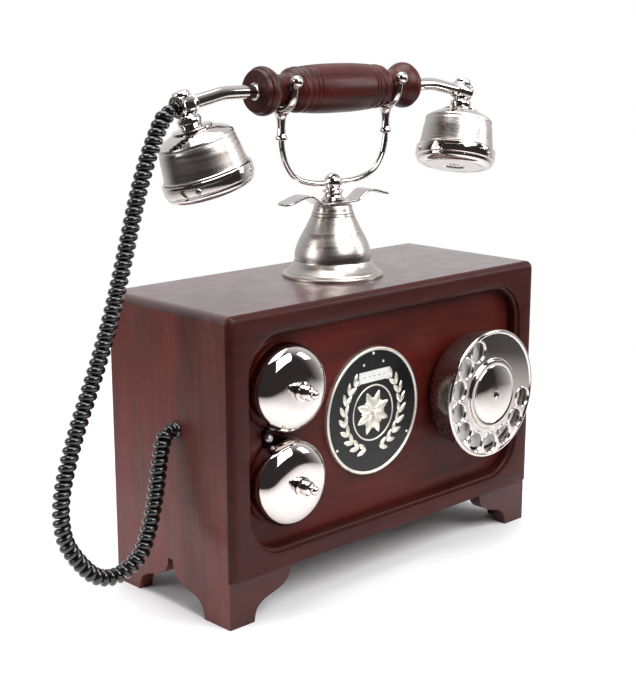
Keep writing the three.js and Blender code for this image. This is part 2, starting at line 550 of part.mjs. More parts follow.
// Middle line of the curly cord, from the left knuckle down to the gland: [x, distance in front of MID_Y, z].
const CORD_ROUTE = [[-118.4, 1.2, 275.7], [-120.8, 1.2, 275], [-125.8, 1.4, 270.8], [-130.2, 1.6, 264],
  [-136.6, 1.8, 251.5], [-142.3, 2, 237.5], [-147.9, 2.3, 221], [-155.2, 2.6, 197.7], [-162.8, 2.9, 175],
  [-171.4, 3.3, 153.4], [-180, 3.6, 134], [-187.4, 3.8, 118], [-193.8, 4.1, 102], [-198.9, 4.3, 86],
  [-200.8, 4.6, 72], [-198.9, 4.9, 58], [-192, 5.1, 45.6], [-182.4, 5.4, 34.8], [-172.2, 5.6, 30.8],
  [-162.4, 5.7, 32], [-152.6, 5.9, 38.2], [-147, 6.2, 49.7], [-143.4, 6.3, 61], [-140.9, 6.6, 73],
  [-139, 6.9, 85], [-137.4, 7.2, 94], [-135.4, 7.3, 100.6], [-132.6, 7.3, 103.8], [-130, 7.3, 104.1]];
const route = CORD_ROUTE.map(([x, d, z]) => V(x, MID_Y - d, z));
add("curly_cord", rod(CORD.r, new THREE.CatmullRomCurve3(route), CORD.steps, CORD.sides / 2), MAT.blackCord);

// ---------- inside and back ----------
const board = box(15, 105, 0, 48, 38.5, 40.1);
const standOffs = [[20, 5], [100, 5], [20, 43], [100, 43]].map(([x, y]) => {
  const post = turned([[0, 33.5], [2, 33.5], [2, 39], [0, 39]], 12);
  return post.rotateX(Math.PI / 2).translate(x, y, 0);
});
add("circuit_board", join(board, ...standOffs), MAT.board);
const socket = box(83, 91, BACK_Y - 8, BACK_Y + 1, 48, 56);
add("line_jack", cut(box(78.3, 95.7, 50, BACK_Y - 0.1, 44.3, 59.7), socket), MAT.plate);

export default group;
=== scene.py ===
"""Looks of the cradle telephone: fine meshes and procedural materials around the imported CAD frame. Metres."""
import json
import math

import bmesh
import bpy
from mathutils import Matrix, Vector

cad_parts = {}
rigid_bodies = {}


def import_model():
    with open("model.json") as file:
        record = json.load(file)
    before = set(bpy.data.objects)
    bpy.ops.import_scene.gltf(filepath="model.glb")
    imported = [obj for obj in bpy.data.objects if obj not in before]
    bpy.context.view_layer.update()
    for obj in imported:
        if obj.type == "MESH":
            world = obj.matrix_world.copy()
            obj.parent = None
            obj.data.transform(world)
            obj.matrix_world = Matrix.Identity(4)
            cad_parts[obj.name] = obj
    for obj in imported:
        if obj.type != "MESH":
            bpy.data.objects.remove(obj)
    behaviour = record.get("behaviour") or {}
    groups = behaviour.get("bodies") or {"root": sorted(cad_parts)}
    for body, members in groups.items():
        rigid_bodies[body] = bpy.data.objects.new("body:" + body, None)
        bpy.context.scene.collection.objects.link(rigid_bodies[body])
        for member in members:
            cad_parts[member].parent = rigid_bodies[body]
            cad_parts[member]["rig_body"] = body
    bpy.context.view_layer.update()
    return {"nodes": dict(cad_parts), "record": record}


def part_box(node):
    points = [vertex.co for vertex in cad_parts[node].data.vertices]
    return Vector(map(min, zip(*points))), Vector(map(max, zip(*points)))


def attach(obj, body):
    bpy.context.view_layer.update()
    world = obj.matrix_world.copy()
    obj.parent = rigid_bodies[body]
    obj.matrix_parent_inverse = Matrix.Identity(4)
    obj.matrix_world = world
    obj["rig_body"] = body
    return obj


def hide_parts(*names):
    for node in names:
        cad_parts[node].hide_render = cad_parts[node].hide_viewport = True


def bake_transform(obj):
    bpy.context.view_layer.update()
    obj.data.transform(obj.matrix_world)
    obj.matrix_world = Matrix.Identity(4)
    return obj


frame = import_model()
MM = 0.001
BOX = {n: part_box(n) for n in frame["nodes"]}


def centre(node):
    low, high = BOX[node]
    return (Vector(low) + Vector(high)) / 2


def add_object(name, data):
    """A new object that holds the data, linked into the scene."""
    obj = bpy.data.objects.new(name, data)
    bpy.context.scene.collection.objects.link(obj)
    return obj


# ---------- camera ----------
FOCAL_MM, SENSOR_MM = 70.8, 36
CAMERA_SPOT = (-0.5712, -0.5666, 0.3196)
CAMERA_DOWN, CAMERA_ASIDE = 13.35, 44.01  # degrees below level, and round towards +X
cam_data = bpy.data.cameras.new("camera")
cam_data.lens = FOCAL_MM
cam_data.sensor_width = SENSOR_MM
camera = add_object("camera", cam_data)
camera.location = CAMERA_SPOT
camera.rotation_euler = (math.radians(90 - CAMERA_DOWN), 0, math.radians(-CAMERA_ASIDE))
bpy.context.scene.camera = camera
bpy.context.scene.view_settings.view_transform = "Standard"

# Planes and axes that the pieces share, read from the frame.
MID_Y = centre("pedestal").y
PANEL_Y = BOX["front_panel"][0][1]
FRAME_LOW, FRAME_HIGH = (Vector(c) for c in BOX["front_frame"])
SIDE_LOW, SIDE_HIGH = (Vector(c) for c in BOX["side_panel_left"])
FACE_Y = FRAME_LOW.y
CASE_Y = BOX["front_foot_left"][0][1]
BACK_Y = SIDE_HIGH.y
HALF_W = -FRAME_LOW.x
TOP_Z = FRAME_HIGH.z
FOOT_Z = FRAME_LOW.z
WALL = SIDE_HIGH.x - SIDE_LOW.x
PANEL_RECESS = PANEL_Y - FACE_Y
HANDLE_Z = centre("handle_grip").z
HANDSET_X = centre("handle_grip").x


# ---------- mesh helpers ----------
def make(name, verts, faces, material, body, smooth=40):
    """A mesh piece from plain lists; edges sharper than smooth degrees stay crisp."""
    mesh = bpy.data.meshes.new(name)
    mesh.from_pydata([tuple(v) for v in verts], [], faces)
    bm = bmesh.new()
    bm.from_mesh(mesh)
    bmesh.ops.remove_doubles(bm, verts=bm.verts, dist=1e-7)
    bmesh.ops.recalc_face_normals(bm, faces=bm.faces)
    bm.to_mesh(mesh)
    bm.free()
    mesh.shade_smooth()
    mesh.set_sharp_from_angle(angle=math.radians(smooth))
    obj = add_object(name, mesh)
    mesh.materials.append(material)
    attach(obj, body)
    return obj


def bevel(obj, width):
    """Rounds the object's sharp edges by width, in metres."""
    mod = obj.modifiers.new("edge", "BEVEL")
    mod.width = width
    mod.segments = 2
    mod.limit_method = "ANGLE"
    mod.angle_limit = math.radians(35)
    mod.harden_normals = False
    return obj


def catmull_rom(a, b, c, d, t):
    """One coordinate a share t of the way from b to c, with a and d as their neighbours."""
    return 0.5 * (2 * b + (c - a) * t + (2 * a - 5 * b + 4 * c - d) * t * t
                  + (3 * b - a - 3 * c + d) * t ** 3)


def curve(points, steps):
    """Points of a smooth line through the given ones, in any number of dimensions."""
    out = []
    n = len(points)
    for i in range(n - 1):
        p = [points[max(i - 1, 0)], points[i], points[i + 1], points[min(i + 2, n - 1)]]
        for k in range(steps):
            out.append(tuple(catmull_rom(*near, k / steps) for near in zip(*p)))
    return [*out, tuple(points[-1])]


def lathe_data(profile, origin, axis, segments=96):
    """Verts and faces of a turned surface; the profile is [radius, position along the axis] in mm."""
    axis = Vector(axis).normalized()
    side = axis.orthogonal().normalized()
    other = axis.cross(side)
    verts, rings = [], []
    for r, t in profile:
        base = Vector(origin) + axis * (t * MM)
        if r < 1e-6:
            rings.append([len(verts)])
            verts.append(base)
            continue
        rings.append(list(range(len(verts), len(verts) + segments)))
        for k in range(segments):
            a = 2 * math.pi * k / segments
            verts.append(base + (side * math.cos(a) + other * math.sin(a)) * (r * MM))
    faces = []
    for a, b in zip(rings, rings[1:]):
        for k in range(segments):
            m = (k + 1) % segments
            quad = list(dict.fromkeys([a[k % len(a)], a[m % len(a)], b[m % len(b)], b[k % len(b)]]))
            if len(quad) > 2:
                faces.append(quad)
    return verts, faces


def turned(name, profile, origin, axis, material, body, segments):
    """A turned piece; see lathe_data for the profile."""
    return make(name, *lathe_data(profile, origin, axis, segments), material, body, 32)


def merge(*parts):
    """Several (verts, faces) lists as one."""
    verts, faces = [], []
    for v, f in parts:
        n = len(verts)
        verts += v
        faces += [[i + n for i in face] for face in f]
    return verts, faces


def sweep_data(points, section):
    """A section swept along points, with closed ends; section(i, n) gives [(u, v), ...] in metres."""
    pts = [Vector(p) for p in points]
    n = len(pts)
    tangents = [(pts[min(i + 1, n - 1)] - pts[max(i - 1, 0)]).normalized() for i in range(n)]
    u = tangents[0].orthogonal().normalized()
    if abs(tangents[0].y) < 0.9:
        u = (Vector((0, 1, 0)) - tangents[0] * tangents[0].y).normalized()
    verts, faces = [], []
    count = 0
    for i, (p, t) in enumerate(zip(pts, tangents)):
        u = (u - t * u.dot(t)).normalized()
        v = t.cross(u)
        ring = section(i, n)
        count = len(ring)
        verts += [p + u * a + v * b for a, b in ring]
    for i in range(n - 1):
        for k in range(count):
            m = (k + 1) % count
            faces.append([i * count + k, i * count + m, (i + 1) * count + m, (i + 1) * count + k])
    faces.append(list(range(count))[::-1])
    faces.append([(n - 1) * count + k for k in range(count)])
    return verts, faces


def ellipse(a, b, sides):
    return [(a * math.cos(2 * math.pi * k / sides), b * math.sin(2 * math.pi * k / sides))
            for k in range(sides)]


def circle(radius, sides):
    return ellipse(radius, radius, sides)


def arc_points(radius, start, stop, step):
    """Points [radius * cos, radius * sin] from start to stop degrees, stop left out."""
    return [(radius * math.cos(math.radians(a)), radius * math.sin(math.radians(a)))
            for a in range(start, stop, step)]


def ball_data(position, radius, axis):
    """A ball; the radius is in mm."""
    profile = [(0, -radius), *arc_points(radius, -81, 90, 9), (0, radius)]
    return lathe_data(profile, position, axis, 32)


def loft(front, back):
    """A solid between two outlines of equally many points."""
    n = len(front)
    faces = [list(range(n)), [n + k for k in range(n)][::-1]]
    faces += [[k, n + k, n + (k + 1) % n, (k + 1) % n] for k in range(n)]
    return [*front, *back], faces


def as_mesh(name, data):
    """The mesh that a curve or a text makes; name is only for its passing object."""
    holder = add_object(name, data)
    graph = bpy.context.evaluated_depsgraph_get()
    mesh = bpy.data.meshes.new_from_object(holder.evaluated_get(graph))
    bpy.data.objects.remove(holder)
    return mesh


def sheet_metal(name, outer, holes, depth, edge, material, body, place):
    """A flat plate from a closed outline and round holes [(x, y, r)], its rims rounded by edge, in mm."""
    data = bpy.data.curves.new(name, "CURVE")
    data.dimensions = "2D"
    data.fill_mode = "BOTH"
    data.extrude = (depth / 2 - edge) * MM
    data.bevel_depth = edge * MM
    data.bevel_resolution = 3
    loops = [outer] + [[(x + u, y + v) for u, v in circle(r, 48)] for x, y, r in holes]
    for loop in loops:
        spline = data.splines.new("POLY")
        spline.points.add(len(loop) - 1)
        for p, (x, y) in zip(spline.points, loop):
            p.co = (x * MM, y * MM, 0, 1)
        spline.use_cyclic_u = True
    mesh = as_mesh(name + "_curve", data)
    mesh.transform(place)
    mesh.materials.clear()
    mesh.materials.append(material)
    mesh.shade_smooth()
    mesh.set_sharp_from_angle(angle=math.radians(30))
    obj = add_object(name, mesh)
    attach(obj, body)
    return obj


# ---------- material helpers ----------
class Shader:
    """A node material built with short calls."""

    def __init__(self, name, **settings):
        self.material = bpy.data.materials.new(name)
        self.material.use_nodes = True
        self.tree = self.material.node_tree
        self.bsdf = self.tree.nodes["Principled BSDF"]
        for key, value in settings.items():
            self.bsdf.inputs[key.replace("_", " ")].default_value = value
        self.place = self.node("ShaderNodeTexCoord").outputs["Object"]

    def node(self, kind, inputs=None, **props):
        n = self.tree.nodes.new(kind)
        for k, v in props.items():
            setattr(n, k, v)
        for k, v in (inputs or {}).items():
            if isinstance(v, bpy.types.NodeSocket):
                self.tree.links.new(v, n.inputs[k])
            else:
                n.inputs[k].default_value = v
        return n

    def noise(self, scale, stretch=(1, 1, 1), detail=4, roughness=0.55, distortion=0.0, shift=(0, 0, 0)):
        place = self.node("ShaderNodeMapping",
                          {"Vector": self.place, "Scale": stretch, "Location": shift}).outputs[0]
        inputs = {"Vector": place, "Scale": scale, "Detail": detail, "Roughness": roughness,
                  "Distortion": distortion}
        return self.node("ShaderNodeTexNoise", inputs).outputs["Fac"]

    def ramp(self, fac, stops):
        n = self.node("ShaderNodeValToRGB", {"Fac": fac})
        e = n.color_ramp.elements
        while len(e) < len(stops):
            e.new(0.5)
        for item, (pos, col) in zip(e, stops):
            item.position = pos
            item.color = (col, col, col, 1) if isinstance(col, (int, float)) else (*col, 1)
        return n.outputs["Color"]

    def mix(self, fac, a, b):
        """Colour a turning into b as fac goes from 0 to 1; each may be a socket."""
        n = self.node("ShaderNodeMix", data_type="RGBA", blend_type="MIX")
        for key, v in ((0, fac), (6, a), (7, b)):
            if isinstance(v, bpy.types.NodeSocket):
                self.tree.links.new(v, n.inputs[key])
            elif key == 0:
                n.inputs[key].default_value = v
            else:
                n.inputs[key].default_value = (*v, 1)
        return n.outputs[2]

    def set(self, name, socket):
        self.tree.links.new(socket, self.bsdf.inputs[name])

    def bump(self, height, strength, distance, before=None):
        inputs = {"Height": height, "Strength": strength, "Distance": distance}
        if before is not None:
            inputs["Normal"] = before
        out = self.node("ShaderNodeBump", inputs).outputs["Normal"]
        self.set("Normal", out)
        return out


def wood(name, grain, base, dark, light, red, coat, rough, spec, shift=(0, 0, 0)):
    """Lacquered mahogany; grain is the axis along which its streaks run."""
    s = Shader(name, Coat_Weight=coat, Coat_Roughness=0.16, Coat_IOR=1.5, Specular_IOR_Level=spec)

    def drawn_out(share):
        return tuple(share if axis == grain else 1.0 for axis in "XYZ")

    streak = s.noise(260, drawn_out(0.06), detail=8, roughness=0.65, shift=shift)
    broad = s.noise(30, drawn_out(0.25), detail=3, distortion=0.6, shift=shift)
    pores = s.noise(1500, drawn_out(0.03), detail=2, roughness=0.5, shift=shift)
    body = s.ramp(streak, [(0.28, dark), (0.52, base), (0.78, light)])
    warm = tuple(min(1, c * k) for c, k in zip(base, (2.1, 0.75, 0.6)))
    patch = s.ramp(broad, [(0.42, 0.0), (0.68, red)])
    colour = s.mix(patch, body, warm)
    pore_mask = s.ramp(pores, [(0.26, 0.6), (0.36, 0.0)])
    s.set("Base Color", s.mix(pore_mask, colour, tuple(c * 0.45 for c in dark)))
    s.set("Roughness", s.ramp(s.noise(90, detail=3), [(0.3, rough - 0.05), (0.7, rough + 0.1)]))
    first = s.bump(streak, 0.06, 0.0002)
    s.bump(pores, 0.05, 0.00006, first)
    return s.material


def metal(name, colour, rough, tint=0.06, smudge=0.05):
    """Polished metal with faint smears."""
    s = Shader(name, Metallic=1.0)
    smear = s.noise(60, detail=4, distortion=0.8)
    s.set("Base Color", s.mix(smear, tuple(c * (1 - tint) for c in colour), colour))
    fine = s.ramp(s.noise(220, detail=6, roughness=0.7), [(0.35, rough), (0.75, rough + smudge)])
    s.set("Roughness", fine)
    return s.material


def brushed(name, colour, along, rough=0.22, depth=0.25, turn=0):
    """Lathe-brushed metal; fine lines run round the given axis, tipped by turn degrees."""
    s = Shader(name, Metallic=1.0, Anisotropic=0.5)
    s.place = s.node("ShaderNodeVectorRotate", {"Vector": s.place, "Angle": math.radians(turn)},
                     rotation_type="Y_AXIS").outputs["Vector"]
    stretch = tuple(1.0 if axis == along else 0.02 for axis in "XYZ")
    lines = s.noise(2600, stretch, detail=3, roughness=0.7)
    wide = s.noise(420, stretch, detail=2)
    s.set("Base Color", s.mix(lines, tuple(c * 0.8 for c in colour), colour))
    s.set("Roughness", s.ramp(wide, [(0.3, rough), (0.7, rough + 0.12)]))
    s.bump(lines, depth, 0.00004)
    return s.material


def enamel(name, colour, rough, coat, grain=0.05, scale=900, spec=0.5):
    """Paint, plastic or rubber with a faint cloudiness and a fine grain."""
    s = Shader(name, Roughness=rough, Coat_Weight=coat, Coat_Roughness=0.1, Specular_IOR_Level=spec)
    cloud = s.noise(120, detail=5)
    s.set("Base Color", s.mix(cloud, tuple(c * 0.8 for c in colour), colour))
    s.bump(s.noise(scale, detail=2), grain, 0.0001)
    return s.material


WOOD_FRONT = wood("wood_front", "X", (0.034, 0.0065, 0.0055), (0.019, 0.0045, 0.004),
                  (0.054, 0.010, 0.008), red=0.25, coat=0.04, rough=0.4, spec=0.14)
WOOD_PANEL = wood("wood_panel", "X", (0.050, 0.007, 0.005), (0.026, 0.004, 0.0035),
                  (0.076, 0.012, 0.007), red=0.5, coat=0.02, rough=0.42, spec=0.14, shift=(0.3, 0.1, 0.2))
# The side copy of the cabinet mahogany has a much lighter base than the front copies: painted light and sheen on
# the lit side face.
WOOD_SIDE = wood("wood_side", "Z", (0.092, 0.020, 0.014), (0.050, 0.012, 0.010),
                 (0.140, 0.032, 0.021), red=0.4, coat=0.15, rough=0.4, spec=0.35)
WOOD_TOP = wood("wood_top", "X", (0.050, 0.014, 0.013), (0.030, 0.009, 0.009),
                (0.075, 0.020, 0.019), red=0.15, coat=0.6, rough=0.36, spec=0.6)
WOOD_FOOT = wood("wood_foot", "X", (0.040, 0.008, 0.0065), (0.022, 0.0055, 0.005),
                 (0.062, 0.013, 0.009), red=0.25, coat=0.08, rough=0.3, spec=0.25, shift=(0.7, 0, 0.4))
WOOD_HANDLE = wood("wood_handle", "X", (0.036, 0.006, 0.0045), (0.013, 0.003, 0.003),
                   (0.080, 0.011, 0.007), red=0.45, coat=0.08, rough=0.36, spec=0.2)
WOOD_BACK = wood("wood_back", "X", (0.050, 0.020, 0.014), (0.022, 0.010, 0.008),
                 (0.08, 0.035, 0.024), red=0.2, coat=0.1, rough=0.5, spec=0.5)
CHROME = metal("polished_nickel", (0.66, 0.61, 0.58), 0.04, smudge=0.06)
CHROME_SOFT = metal("worn_nickel", (0.60, 0.55, 0.52), 0.14, smudge=0.12)
CASE_METAL = metal("dial_case_metal", (0.42, 0.37, 0.35), 0.26, tint=0.03, smudge=0.03)
STEEL = metal("steel", (0.55, 0.55, 0.56), 0.3, smudge=0.1)
BRUSH_Z = brushed("brushed_round_z", (0.50, 0.46, 0.43), "Z")
# One brushed nickel in two copies: the right cup's colour is darker than the left's, painted shade that evens out
# how the lamps fall on the two cups.
BRUSH_CUP = {"left": brushed("brushed_cup_left", (0.62, 0.57, 0.53), "Z", turn=16),
             "right": brushed("brushed_cup_right_shaded", (0.54, 0.50, 0.47), "Z", turn=-16)}
PLATE = enamel("plate_white", (0.72, 0.71, 0.70), rough=0.3, coat=0.5, grain=0.02)
CREAM = metal("relief_silver", (0.80, 0.76, 0.68), 0.42, smudge=0.12)
BLACK = enamel("black_enamel", (0.005, 0.005, 0.006), rough=0.35, coat=0.1, grain=0.08,
               spec=0.25)
RUBBER = enamel("cord_black", (0.004, 0.004, 0.004), rough=0.22, coat=0.5, grain=0.02, scale=300)
BRASS = metal("brass", (0.62, 0.45, 0.20), 0.25)
COPPER = brushed("copper_winding", (0.55, 0.22, 0.10), "Y", 0.3, 0.8)
BOARD = enamel("board_green", (0.02, 0.09, 0.035), rough=0.5, coat=0.0)
INK = enamel("ink", (0.01, 0.01, 0.012), rough=0.6, coat=0.0)
# Near-black; on the cup caps it is painted shade standing in for the sound holes.
DARK = enamel("dark_hole", (0.002, 0.002, 0.002), rough=0.9, coat=0.0)

# What each material slot of the CAD nodes that stay looks like.
SLOT_MATERIAL = {
    "wood": WOOD_BACK, "polished_nickel": CHROME, "brushed_nickel": BRUSH_Z, "plate_metal": PLATE,
    "black_enamel": BLACK, "black_cord": RUBBER, "steel": STEEL, "brass": BRASS, "copper": COPPER,
    "board": BOARD,
}
for row in frame["record"]["subparts"]:
    node = frame["nodes"][row["node"]]
    node.data.materials.clear()
    node.data.materials.append(SLOT_MATERIAL[row["material_slot"]])
frame["nodes"]["front_panel"].data.materials[0] = WOOD_PANEL

# ---------- curly cord ----------
# Middle line of the coil, the same points as the CAD tube: [x, distance in front of MID_Y, z] in mm.
CORD_ROUTE = [[-118.4, 1.2, 275.7], [-120.8, 1.2, 275], [-125.8, 1.4, 270.8], [-130.2, 1.6, 264],
              [-136.6, 1.8, 251.5], [-142.3, 2, 237.5], [-147.9, 2.3, 221], [-155.2, 2.6, 197.7],
              [-162.8, 2.9, 175], [-171.4, 3.3, 153.4], [-180, 3.6, 134], [-187.4, 3.8, 118], [-193.8, 4.1, 102],
              [-198.9, 4.3, 86], [-200.8, 4.6, 72], [-198.9, 4.9, 58], [-192, 5.1, 45.6], [-182.4, 5.4, 34.8],
              [-172.2, 5.6, 30.8], [-162.4, 5.7, 32], [-152.6, 5.9, 38.2], [-147, 6.2, 49.7], [-143.4, 6.3, 61],
              [-140.9, 6.6, 73], [-139, 6.9, 85], [-137.4, 7.2, 94], [-135.4, 7.3, 100.6], [-132.6, 7.3, 103.8],
              [-130, 7.3, 104.1]]
COIL_R = 2.68 * MM  # radius of the helix's middle line
WIRE_D = 4.3 * MM
PITCH = 4.72 * MM
TURN_STEPS = 16
EASE_GLAND, EASE_KNUCKLE = 3 * MM, 6 * MM  # where the coil opens from a narrow end to its full width
NARROW = 0.15  # share of the coil's radius at its very ends


def cord():
    """The wire of the curly cord, wound round the route, from the knuckle to the gland."""
    spine = [Vector((x * MM, MID_Y - d * MM, z * MM)) for x, d, z in CORD_ROUTE]
    spine = [Vector(p) for p in curve([tuple(p) for p in spine], 24)]
    along = [0.0]
    for a, b in zip(spine, spine[1:]):
        along.append(along[-1] + (b - a).length)
    total = along[-1]
    count = int(total / PITCH * TURN_STEPS)
    u, i, helix = Vector((0, 1, 0)), 0, []
    for k in range(count + 1):
        s = total * k / count
        while i < len(along) - 2 and along[i + 1] < s:
            i += 1
        t = (s - along[i]) / (along[i + 1] - along[i])
        p = spine[i].lerp(spine[i + 1], t)
        tangent = (spine[i + 1] - spine[i]).normalized()
        u = (u - tangent * u.dot(tangent)).normalized()
        a = 2 * math.pi * k / TURN_STEPS
        ease = min(1.0, s / EASE_KNUCKLE, (total - s) / EASE_GLAND)
        around = u * math.cos(a) + tangent.cross(u) * math.sin(a)
        helix.append(p + around * COIL_R * (NARROW + (1 - NARROW) * ease))
    verts, faces = sweep_data(helix, lambda i, n: circle(WIRE_D / 2, 10))
    obj = make("curly_cord_coil", verts, faces, RUBBER, "cabinet", 60)
    obj.parent = None
    del obj["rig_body"]
    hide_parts("curly_cord")
    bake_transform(obj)
    cord_grommet(spine[-1])


def cord_grommet(end):
    """The rubber bush in the left side, with a moulded lip."""
    profile = [(4.6, 0.0), (4.8, 0.5), (4.6, 1.3), (4.0, 2.0), (3.2, 2.3), (2.6, 2.1), (2.4, 1.2), (0, 1.2)]
    obj = turned("cord_grommet", profile, (-HALF_W, end.y, end.z), (-1, 0, 0), RUBBER, "cabinet", 48)
    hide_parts("cord_gland")
    return obj


cord()


# ---------- cabinet ----------
# Inner edge of a bracket foot, from the floor up: [distance inwards, height] in mm.
BRACKET = curve([(0, 0), (0.9, 4.6), (2.4, 7.8), (5.4, 10.4), (9.5, 12.2), (17, 14.2), (21.5, 16.2), (25, 19.2),
                 (27, 23), (27.5, 26.9)], 4)
CORNER_R = 4.5 * MM
FRONT_LAP = 4 * MM  # how far behind the front face the top and the sides begin


def sides():
    """Side panels down to their bracket feet, mitred into the front and back feet."""
    mid = (CASE_Y + BACK_Y) / 2 + 0.6 * MM
    half = 29.6 * MM
    top = TOP_Z - CORNER_R
    arch = [(mid - half + d * MM, z * MM) for d, z in BRACKET]
    arch += [(mid + half - d * MM, z * MM) for d, z in BRACKET[::-1]]

    def outline(x, inner):
        e = WALL if inner else 0.0
        front = FACE_Y + FRONT_LAP
        pts = [(CASE_Y + e, 0.0), *arch, (BACK_Y - e, 0.0), (BACK_Y - e, FOOT_Z), (BACK_Y, FOOT_Z),
               (BACK_Y, top), (front, top), (front, FOOT_Z), (CASE_Y + e, FOOT_Z)]
        return [(x, y, z) for y, z in pts]

    for side, sign in (("left", -1), ("right", 1)):
        outer = outline(sign * HALF_W, False)
        inner = outline(sign * (HALF_W - WALL), True)
        obj = make(f"side_{side}", *loft(outer, inner), WOOD_SIDE, "cabinet", 30)
        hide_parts(f"side_panel_{side}")


def top_board():
    """The top, with its two long corners rounded down onto the sides."""
    arc = [(-HALF_W + CORNER_R - CORNER_R * math.cos(a), TOP_Z - CORNER_R + CORNER_R * math.sin(a))
           for a in (math.radians(10 * k) for k in range(10))]
    right = [(-x, z) for x, z in arc[::-1]]
    inner = HALF_W - WALL
    low = [(inner, TOP_Z - CORNER_R), (inner, TOP_Z - WALL), (-inner, TOP_Z - WALL),
           (-inner, TOP_Z - CORNER_R)]
    pts = [*arc, *right, *low]
    front = [(x, FACE_Y + FRONT_LAP, z) for x, z in pts]
    back = [(x, BACK_Y, z) for x, z in pts]
    obj = make("top_board", *loft(front, back), WOOD_TOP, "cabinet", 30)
    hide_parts("top_panel")


def bracket_feet():
    """The four feet across the front and the back, mitred into the sides."""
    profile = [(109.5 * MM - d * MM, z * MM) for d, z in BRACKET]
    for end, y_out, y_in in (("front", CASE_Y, CASE_Y + WALL), ("back", BACK_Y, BACK_Y - WALL)):
        for side, sign in (("left", -1), ("right", 1)):
            def outline(y, corner):
                pts = [(corner, 0.0), *profile, (corner, FOOT_Z)]
                return [(sign * x, y, z) for x, z in pts]

            solid = loft(outline(y_out, HALF_W), outline(y_in, HALF_W - WALL))
            obj = make(f"{end}_bracket_{side}", *solid, WOOD_FOOT, "cabinet", 30)
            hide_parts(f"{end}_foot_{side}")


def front_moulding():
    """The front frame: rounded outer edge, flat face, beaded step and cove down to the recessed panel."""
    arc = 14  # steps round a corner
    back = PANEL_RECESS - 0.1 * MM

    def outer(inset, d):
        r = max(CORNER_R - inset * 0.5, 0.001)
        return (HALF_W - inset, FOOT_Z + min(inset, 0.6 * MM), TOP_Z - inset, r, 1.5 * MM, d)

    def inner(inset, d):
        r = 25.5 * MM - inset
        return (115 * MM - inset, 35.5 * MM + inset, 162.3 * MM - inset, r, r, d)

    edge = 4 * MM
    round_over = [math.radians(90 - 10 * k) for k in range(10)]
    loops = [outer(edge * (1 - math.sin(a)), edge * (1 - math.cos(a))) for a in round_over]
    bead = [(0.0, 0.0), (0.5, 0.12), (0.8, 0.5), (0.9, 1.3), (1.1, 1.7), (2.0, 1.9), (2.6, 2.2), (3.0, 2.9),
            (3.1, 4.0), (3.0, 6.0)]
    loops += [inner(i * MM, d * MM) for i, d in bead]
    loops.append(inner(3.0 * MM, back))
    gap = WALL + 0.3 * MM
    for d in (back, edge):
        loops.append((HALF_W - gap, 33.8 * MM, TOP_Z - gap, 2 * MM, 2 * MM, d))
    verts, faces = [], []
    for half_w, low, high, r_top, r_low, d in loops:
        corners = ((half_w - r_top, high - r_top, r_top, 0), (-half_w + r_top, high - r_top, r_top, 90),
                   (-half_w + r_low, low + r_low, r_low, 180), (half_w - r_low, low + r_low, r_low, 270))
        for cx, cz, r, start in corners:
            for k in range(arc + 1):
                a = math.radians(start + 90 * k / arc)
                verts.append((cx + r * math.cos(a), FACE_Y + d, cz + r * math.sin(a)))
    n = 4 * (arc + 1)
    for i in range(len(loops)):
        j = (i + 1) % len(loops)
        for k in range(n):
            m = (k + 1) % n
            faces.append([i * n + k, i * n + m, j * n + m, j * n + k])
    obj = make("front_moulding", verts, faces, WOOD_FRONT, "cabinet", 50)
    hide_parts("front_frame")


sides()
top_board()
bracket_feet()
front_moulding()


# ---------- gongs ----------
def gong(name, z):
    """A bell with its stepped nut and finial, in front of the panel."""
    x = centre(f"gong_{name}").x
    rim = BOX[f"gong_{name}"][1][1]
    dome = curve([(25.3, 1.2), (25.2, 3), (24.8, 6), (24, 8.7), (22.6, 11.1), (20.3, 13.2), (17, 14.7),
                  (12, 15.6), (5.6, 15.95)], 5)
    wall = [(23.7, 0.0), (25.1, 0.0), (25.35, 0.35), *dome, (4.4, 16.0), (2.3, 16.0)]
    inner = curve([(2.3, 14.5), (11.7, 14.1), (16.2, 13.3), (19.2, 12), (21.3, 10.1), (22.6, 7.9), (23.3, 5.6),
                   (23.7, 0)], 3)
    obj = turned(f"bell_{name}", [*wall, *inner], (x, rim, z), (0, -1, 0), CHROME, "cabinet", 160)
    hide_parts(f"gong_{name}")
    seat = centre(f"gong_nut_{name}")
    back, front = BOX[f"gong_nut_{name}"][1][1], BOX[f"gong_nut_{name}"][0][1]
    long = (back - front) / MM
    head = [(0, 0), (5.0, 0), (5.3, 0.3), (5.3, 0.9), (4.3, 1.3), (4.1, 1.9), (4.3, 2.5), (4.3, 4.9), (4.0, 5.3),
            (3.9, 5.8), (3.4, 6.6), (2.2, 7.0), (1.8, 7.3)]
    r = 2.6
    knob = [(u, long - r + v) for u, v in arc_points(r, -45, 90, 9)]
    obj = turned(f"finial_{name}", [*head, *knob, (0, long)], (seat.x, back, seat.z), (0, -1, 0), CHROME,
                 "cabinet", 64)
    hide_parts(f"gong_nut_{name}")


# ---------- dial ----------
FACE = Matrix(((1, 0, 0, 0), (0, 0, -1, 0), (0, 1, 0, 0), (0, 0, 0, 1)))  # drawing plane to front view
HOLES = [math.radians(115.5 + 25.55 * k) for k in range(10)]
HOLE_RING, HOLE_R = 31.2, 6.0
WHEEL_R, WHEEL_THICK = 38.3, 1.6


def ring_data(position, radius, tube, segments=48, sides=12):
    """A round wire ring that faces the front; radius and tube are in mm."""
    arc = [(radius + tube * math.cos(2 * math.pi * k / sides), tube * math.sin(2 * math.pi * k / sides))
           for k in range(sides + 1)]
    return lathe_data(arc, position, (0, -1, 0), segments)


